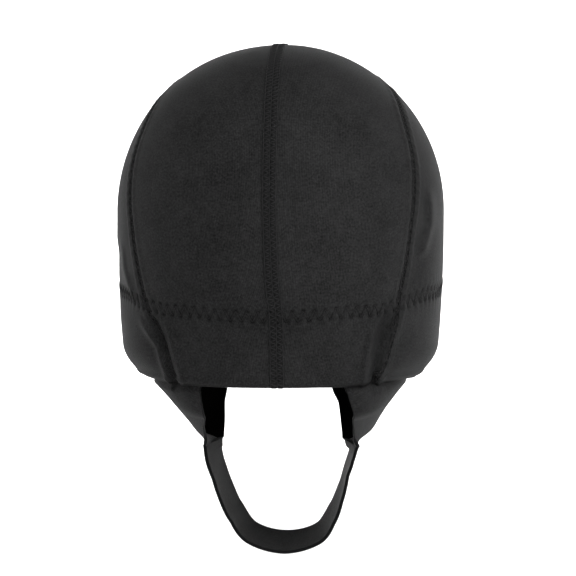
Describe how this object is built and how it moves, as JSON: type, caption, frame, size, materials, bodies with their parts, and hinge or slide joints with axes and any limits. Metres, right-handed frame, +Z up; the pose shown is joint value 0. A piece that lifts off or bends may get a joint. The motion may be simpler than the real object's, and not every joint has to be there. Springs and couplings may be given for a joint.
{
  "type": "swim cap with ear flaps and chin strap",
  "caption": "Close-fitting foam-cloth swim cap, open at the face and neck, with ear flaps sewn inside and a chin strap under them.",
  "frame": {"origin": "inside of the crown's top, where the cap sits on the head", "axes": "+Z up, +Y the way the wearer faces, +X to the wearer's right"},
  "size_m": [0.17, 0.2037, 0.2704],
  "materials": {
    "shell_cloth": "matte",
    "flap_cloth": "matte",
    "strap_cloth": "matte"
  },
  "bodies": {
    "root": {"centre_panel_left": "shell_cloth", "centre_panel_right": "shell_cloth", "side_panel_left": "shell_cloth", "side_panel_right": "shell_cloth", "ear_flap_left": "flap_cloth", "ear_flap_right": "flap_cloth", "chin_strap": "strap_cloth"}
  },
  "joints": []
}
